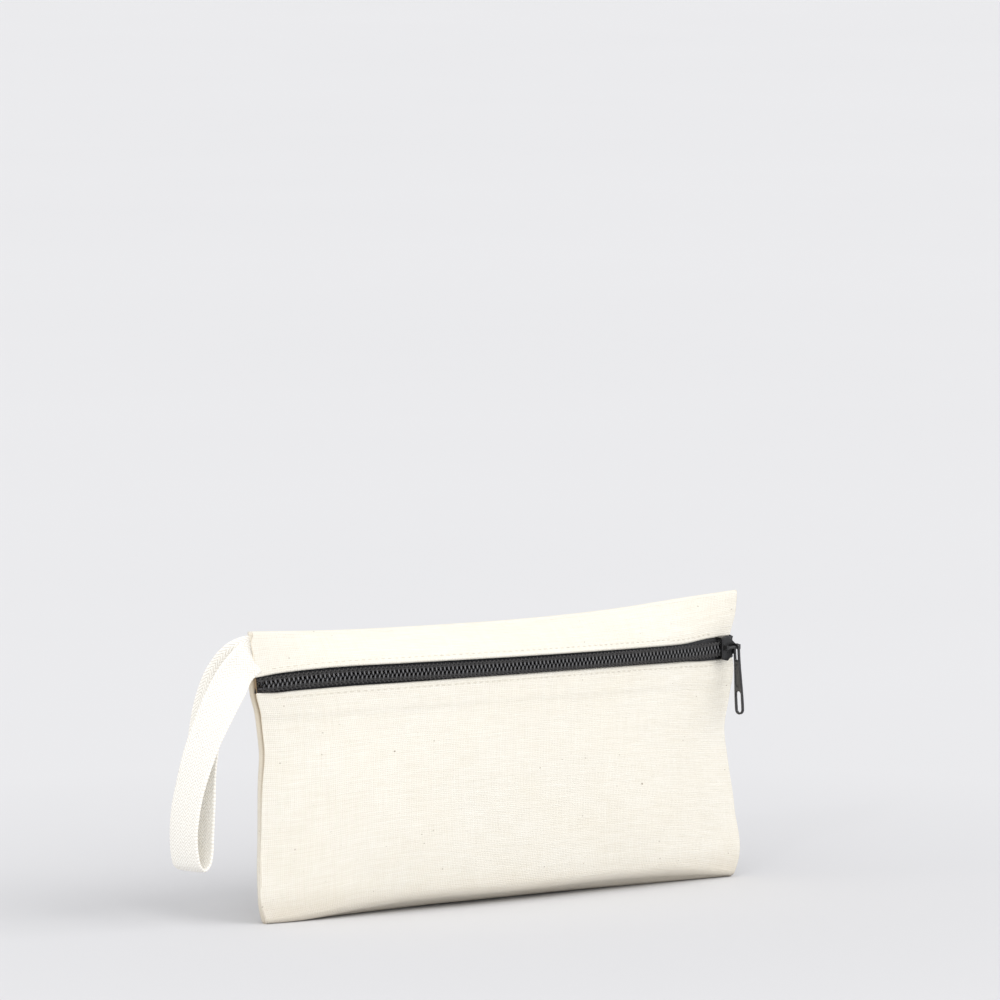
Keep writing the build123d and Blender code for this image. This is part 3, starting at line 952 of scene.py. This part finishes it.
def shade_canvas(obj, s, turn):
    """Marks a canvas panel's painted light: a warm bounce tint on its rolled sides, painted shade with a
    little dirt in their crease, and painted shade along its lowest edge.
    """
    around = len(obj.data.vertices) // len(turn)
    # Painted shade, with a little dirt, in the crease; strong on the left, faint on the right.
    crease = smooth(math.radians(105), math.radians(142), turn) * np.where(s < 0, 1.0, 0.3)
    roll = smooth(math.radians(25), math.radians(80), turn)
    height = point_places(obj)[:, 2]
    upwards = (0.25 + 0.75 * smooth(20, 80, height)) * smooth(98, 94, height)
    # Painted shade along the lowest edge, fading upwards.
    lowest = bottom_shade * smooth(bottom_shade_height, 0, height)
    add_values(obj, "shade", np.maximum(np.repeat(crease, around) * upwards, lowest))
    # The warm tint on the rolled sides is painted bounce light.
    add_values(obj, "roll", np.repeat(roll, around) * upwards)


def hem_taper(surface):
    """Thicker where the canvas is folded under along the zip, thin further on."""
    from_hem = np.linalg.norm(surface - surface[0], axis=-1)
    folded_under = smooth(hem_width + 1, hem_width - 3, from_hem)
    return canvas_thickness + (hem_thickness - canvas_thickness) * folded_under


def build_panel(name, surface, low, high, body, node, hemmed=True):
    """One canvas panel from its outside surface; a hemmed one is folded under beside the zip."""
    s, turn = columns(hemmed_step if hemmed else plain_step, low, high)
    points = surface(s, turn)
    thickness = hem_taper(points) if hemmed else canvas_thickness
    panel = shell(name, points, thinned(points, thickness), pouch_middle, round_first=hemmed)
    shade_canvas(panel, s, turn)
    dress(panel, canvas, "canvas", body, node)


def build_panels():
    """The front, the back, and the band above the zip in two halves."""
    build_panel("canvas_front", front_surface, -1, 1, "root", "front_panel")
    build_panel("canvas_back", back_surface, -1, 1, "root", "back_panel", False)
    for side, low, high in halves:
        name = "canvas_band_" + side
        build_panel(name, band_surface, low, high, "lip", "top_band")


# ---- zip ----


def tape_surface(panel, direction, x_low, x_high):
    """The tape's outer face: flat beside the coil, then along the canvas's inside."""
    low, high = max(x_low, -tape_reach), min(x_high, tape_reach)
    s = np.linspace(low, high, int((high - low) * half_length / tape_step))
    drawn_from = (-tape_reach, -tape_straight, tape_straight, tape_reach)
    drawn_to = (tape_ends[0], -tape_straight * half_length, tape_straight * half_length, tape_ends[1])
    x = np.interp(s, drawn_from, drawn_to)
    rows = [zip_point(x, direction * step, tape_thickness / 2) for step in tape_rows[:-1]]
    rows.append(zip_point(s * half_length, direction * tape_rows[-1], tape_thickness / 2))
    cover = panel(s, np.zeros(len(s)))
    normals, _ = grid_normals(cover, pouch_middle)
    from_hem = distances(cover)[1:, len(s) // 2]
    for distance in np.linspace(tape_under_hem, tape_cover, 9):
        k = int(np.searchsorted(from_hem, distance))
        rows.append(cover[k] - normals[k] * (hem_thickness + tape_clearance))
    return np.array(rows)


def pressed_flat(x):
    """How far the coil is pressed onto its tape at x, where the left side seam crosses it."""
    return coil_pressed_share * smooth(coil_start + coil_pressed_length, coil_start, x)


def coil_tube(direction, x_start, x_end, shift):
    """The wound wire of one side of the zip, with a head on each turn that hooks the other side."""
    steps = 22
    squareness = 0.72
    first = math.ceil((x_start - shift) / coil_pitch - 0.01) * coil_pitch + shift
    turns = int((x_end - first) / coil_pitch + 0.01)
    angle = np.arange(turns * steps + 1) * math.tau / steps
    half_across = (coil_reach + coil_overlap) / 2 - coil_wire
    half_out = (coil_high_face - coil_low_face) / 2 - coil_wire
    across = (coil_reach - coil_overlap) / 2 + half_across * squared(np.cos(angle), squareness)
    outward = (coil_high_face + coil_low_face) / 2 + half_out * squared(np.sin(angle), squareness)
    x = first + angle / math.tau * coil_pitch
    outward = outward - pressed_flat(x) * (outward - coil_low_face - coil_wire)
    head = bump(across, -coil_overlap + coil_wire, 0.5)
    return tube(zip_point(x, direction * across, outward), coil_wire * (1 + 0.16 * head))


def sewing_threads(direction, x_start, x_end, shift):
    """The two threads that sew a coil to its tape: one over the wires, one zigzag outside them."""
    x = np.arange(x_start, x_end, coil_pitch / 10)
    angle = (x - shift - coil_pitch / 4) * math.tau / coil_pitch
    tubes = []
    for across, swing, below, rise, radius in coil_threads:
        outward = coil_high_face - below + rise * np.cos(angle)
        thread = zip_point(x, direction * (across + swing * np.sin(angle)), outward)
        thread[:, 1] += pressed_flat(x) * (coil_high_face - coil_low_face)
        tubes.append(tube(thread, radius, thread_sides))
    return tubes


def cord_tube(direction, x_start, x_end):
    """The cord that fills the inside of a coil."""
    x = np.arange(x_start, x_end, 1.0)
    return tube(zip_point(x, direction * cord_across, cord_outward), cord_radius)


def shine_coil(obj, direction):
    """Marks where the painted highlight goes: on the wires' crowns, a little way out from the middle line."""
    x, y, z = point_places(obj).T
    across = direction * (z - zip_height - zip_wander(x))
    outward = np.hypot(x, y - travel_centre[1]) - zip_radius
    centre, width, strength = upper_highlight if direction > 0 else lower_highlight
    crown = smooth(-0.45, -0.02, outward - coil_high_face)
    add_values(obj, "shine", strength * bump(across, centre, width) * crown)


def stitches(panel, low, high):
    """The topstitches of one folded edge, each dipping into the cloth at both ends."""
    middles = (np.arange(first_stitch_hole, last_stitch_hole) + 0.5) * stitch_pitch
    arch = np.sin(np.linspace(0, math.pi, stitch_points))
    rise = stitch_arch * arch**0.6 - stitch_sunk
    thickness = stitch_radius * (0.75 + 0.25 * arch)
    tubes = []
    for middle_x in middles[(middles >= low * half_length) & (middles < high * half_length)]:
        s = (middle_x + np.linspace(-0.5, 0.5, stitch_points) * stitch_length) / half_length
        cover = panel(s, np.zeros(len(s)))
        normals, _ = grid_normals(cover, pouch_middle)
        from_hem = distances(cover)[1:, stitch_points // 2]
        row = int(np.searchsorted(from_hem, stitch_from_hem))
        tubes.append(tube(cover[row] + normals[row] * rise[:, None], thickness, thread_sides))
    return tubes


def build_zip():
    """Tapes, coils, their threads and cords, and the topstitch beside them."""
    sides = [("lower", -1, -1.0, 1.0, 0.0, "root")]
    sides += [("upper_" + side, 1, low, high, coil_pitch / 2, "lip") for side, low, high in halves]
    for name, direction, low, high, shift, body in sides:
        level = name.split("_")[0]
        panel = front_surface if direction < 0 else band_surface
        surface = tape_surface(panel, direction, low, high)
        tape = shell("zip_tape_" + name, surface, tape_thickness, pouch_middle)
        dress(tape, zip_tape, "zip_tape", body, level + "_zip_tape")
        start = coil_start if low == -1 else halves_meet
        end = coil_end if high == 1 else halves_meet
        coil = add_tubes("zip_coil_" + name, [coil_tube(direction, start, end, shift)])
        shine_coil(coil, direction)
        dress(coil, nylon, "zip_coil", body, level + "_zip_coil")
        for piece, tubes, material, slot in (
            ("filler_cord", [cord_tube(direction, start, end)], zip_thread, "zip_thread"),
            ("coil_thread", sewing_threads(direction, start, end, shift), zip_thread, "zip_thread"),
            ("topstitch", stitches(panel, low, high), cotton, "cotton_thread"),
        ):
            dress(add_tubes(piece + "_" + name, tubes), material, slot, body, level + "_" + piece)


# ---- side seams, inside ----


def seam_tube(sign):
    """The thread of one side seam, which swings from face to face as it is sewn."""
    z = np.arange(*seam_thread_heights, 0.6)
    edge = sign * (side_edge(np.full(len(z), sign), z) - seam_thread_inward)
    swing = seam_thread_swing * np.sin(z * math.tau / stitch_pitch)
    return tube(np.stack([edge, swing, z], -1), seam_thread_radius, thread_sides)


def allowance_surface(sign):
    """The front face of one seam allowance, from its raw edge out to the seam."""
    z = np.linspace(*allowance_heights, 40)
    reach = sign * side_edge(np.full(len(z), sign), z)
    depth = np.full(len(z), -allowance_thickness / 2)
    inward = np.linspace(*allowance_edges, 8)
    return np.stack([np.stack([reach - sign * step, depth, z], -1) for step in inward])


def overlock_tube(sign):
    """The overlocking thread, wound round an allowance's raw edge."""
    z = np.arange(*allowance_heights, 0.1)
    angle = z * math.tau / overlock_pitch
    inward = overlock_inward + overlock_half_width * np.cos(angle)
    along = sign * (side_edge(np.full(len(z), sign), z) - inward)
    depth = overlock_half_depth * squared(np.sin(angle), 0.4)
    return tube(np.stack([along, depth, z], -1), overlock_radius, thread_sides)


def build_seams():
    """The sewn side seams inside the pouch, with overlocked allowances."""
    for side, sign in (("left", -1), ("right", 1)):
        seam = add_tubes("seam_thread_" + side, [seam_tube(sign)])
        dress(seam, cotton, "cotton_thread", "root", side + "_seam_thread")
        well_behind = np.array([sign * 90.0, 20.0, 40.0])
        name = "seam_allowance_" + side
        allowance = shell(name, allowance_surface(sign), allowance_thickness, well_behind)
        dress(allowance, canvas, "canvas", "root")
        overlock = add_tubes("overlock_" + side, [overlock_tube(sign)])
        dress(overlock, cotton, "cotton_thread", "root", side + "_overlock")


# ---- wrist strap ----

# Each station of the tape: its middle, then the direction of its upper edge.
inside_seam = (-89.5, -93, -96)
strap_stations = [((x, -0.5, strap_seam_height), (0, 0, 1)) for x in inside_seam]
strap_stations += [
    ((-98.6, -1.4, 89.6), (-0.2, 0.22, 0.93)),
    ((-104, -2.0, 86.0), (-0.5, 0.15, 0.85)),
    ((-109.5, -3, 80.6), (-0.62, 0.5, 0.6)),
    ((-115, -3.2, 72.5), (-0.6, 0.72, 0.35)),
    ((-120, -2.8, 63), (-0.48, 0.86, 0.18)),
    ((-124, -2.2, 52), (-0.37, 0.92, 0.08)),
    ((-126.7, -1.5, 40), (-0.3, 0.95, 0)),
    ((-127.2, -1.1, 30), (-0.28, 0.96, 0)),
    ((-126.6, -0.95, 25.0), (-0.28, 0.96, 0)),
    ((-125.2, -0.6, 21.2), (-0.28, 0.96, 0)),
    ((-122.6, 0, 19.6), (-0.28, 0.96, 0)),
    ((-120.0, 0.6, 21.2), (-0.28, 0.96, 0)),
    ((-118.6, 0.95, 25.0), (-0.28, 0.96, 0)),
    ((-118.0, 1.2, 30), (-0.28, 0.96, 0)),
    ((-117.2, 1.8, 42), (-0.3, 0.95, 0)),
    ((-115.9, 3.2, 54), (-0.35, 0.93, 0.05)),
    ((-113.7, 4.6, 65), (-0.42, 0.88, 0.2)),
    ((-110.7, 5, 75), (-0.5, 0.75, 0.4)),
    ((-107.2, 3.9, 83.4), (-0.55, 0.5, 0.65)),
    ((-102.8, 1.9, 89.0), (-0.3, 0.15, 0.92)),
    ((-98.5, 0.52, strap_seam_height), (0, 0, 1)),
]
strap_stations += [((x, 0.5, strap_seam_height), (0, 0, 1)) for x in reversed(inside_seam)]


def build_strap():
    """The looped herringbone tape, as one ribbon with soft edges."""
    centres = np.array([centre for centre, _ in strap_stations])
    edges = np.array([edge for _, edge in strap_stations], float)
    place = distances(centres)
    at = np.linspace(0, place[-1], strap_points)
    centre = np.stack([through(np.stack([place, centres[:, k]], -1), at) for k in range(3)], -1)
    edge = np.stack([through(np.stack([place, edges[:, k]], -1), at) for k in range(3)], -1)
    tangent = np.gradient(centre, axis=0)
    tangent /= np.linalg.norm(tangent, axis=1, keepdims=True)
    edge -= tangent * np.sum(edge * tangent, axis=1, keepdims=True)
    edge /= np.linalg.norm(edge, axis=1, keepdims=True)
    face = np.cross(tangent, edge)
    free = smooth(9, 22, at) * smooth(9, 22, place[-1] - at)
    cup = 0.35 * np.sin(at / 17) * free
    ripple = 0.10 * np.sin(at / 2.9) * free
    rows = []
    for offset in np.linspace(0.5, -0.5, strap_rows) * (strap_width - strap_thickness):
        share = 2 * offset / strap_width
        lift = cup * (1 - share**2) + ripple * share**3
        rows.append(centre + edge * offset + face * (strap_thickness / 2 + lift)[:, None])
    loop_middle = centres.mean(axis=0)
    ribbon = shell("wrist_strap_tape", np.array(rows), strap_thickness, loop_middle, round_last=True)
    places = point_places(ribbon)
    around = len(places) // len(centre)
    from_centre = places - np.repeat(centre, around, axis=0)
    outward = np.sum(from_centre * np.repeat(face, around, axis=0), axis=1)
    # Marks the loop's inner face, lower down, for its painted shade.
    add_values(ribbon, "inside", (outward < 0) * smooth(80, 55, places[:, 2]))
    ribbon.data.materials.append(twill)
    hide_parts("wrist_strap")
    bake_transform(ribbon)


def dress_slider():
    """The slider's own CAD pieces keep their shape and get the plated metal."""
    for name, metal in metals.items():
        node = frame["nodes"][name]
        node.data.materials.clear()
        node.data.materials.append(metal)


build_panels()
build_zip()
build_seams()
build_strap()
dress_slider()
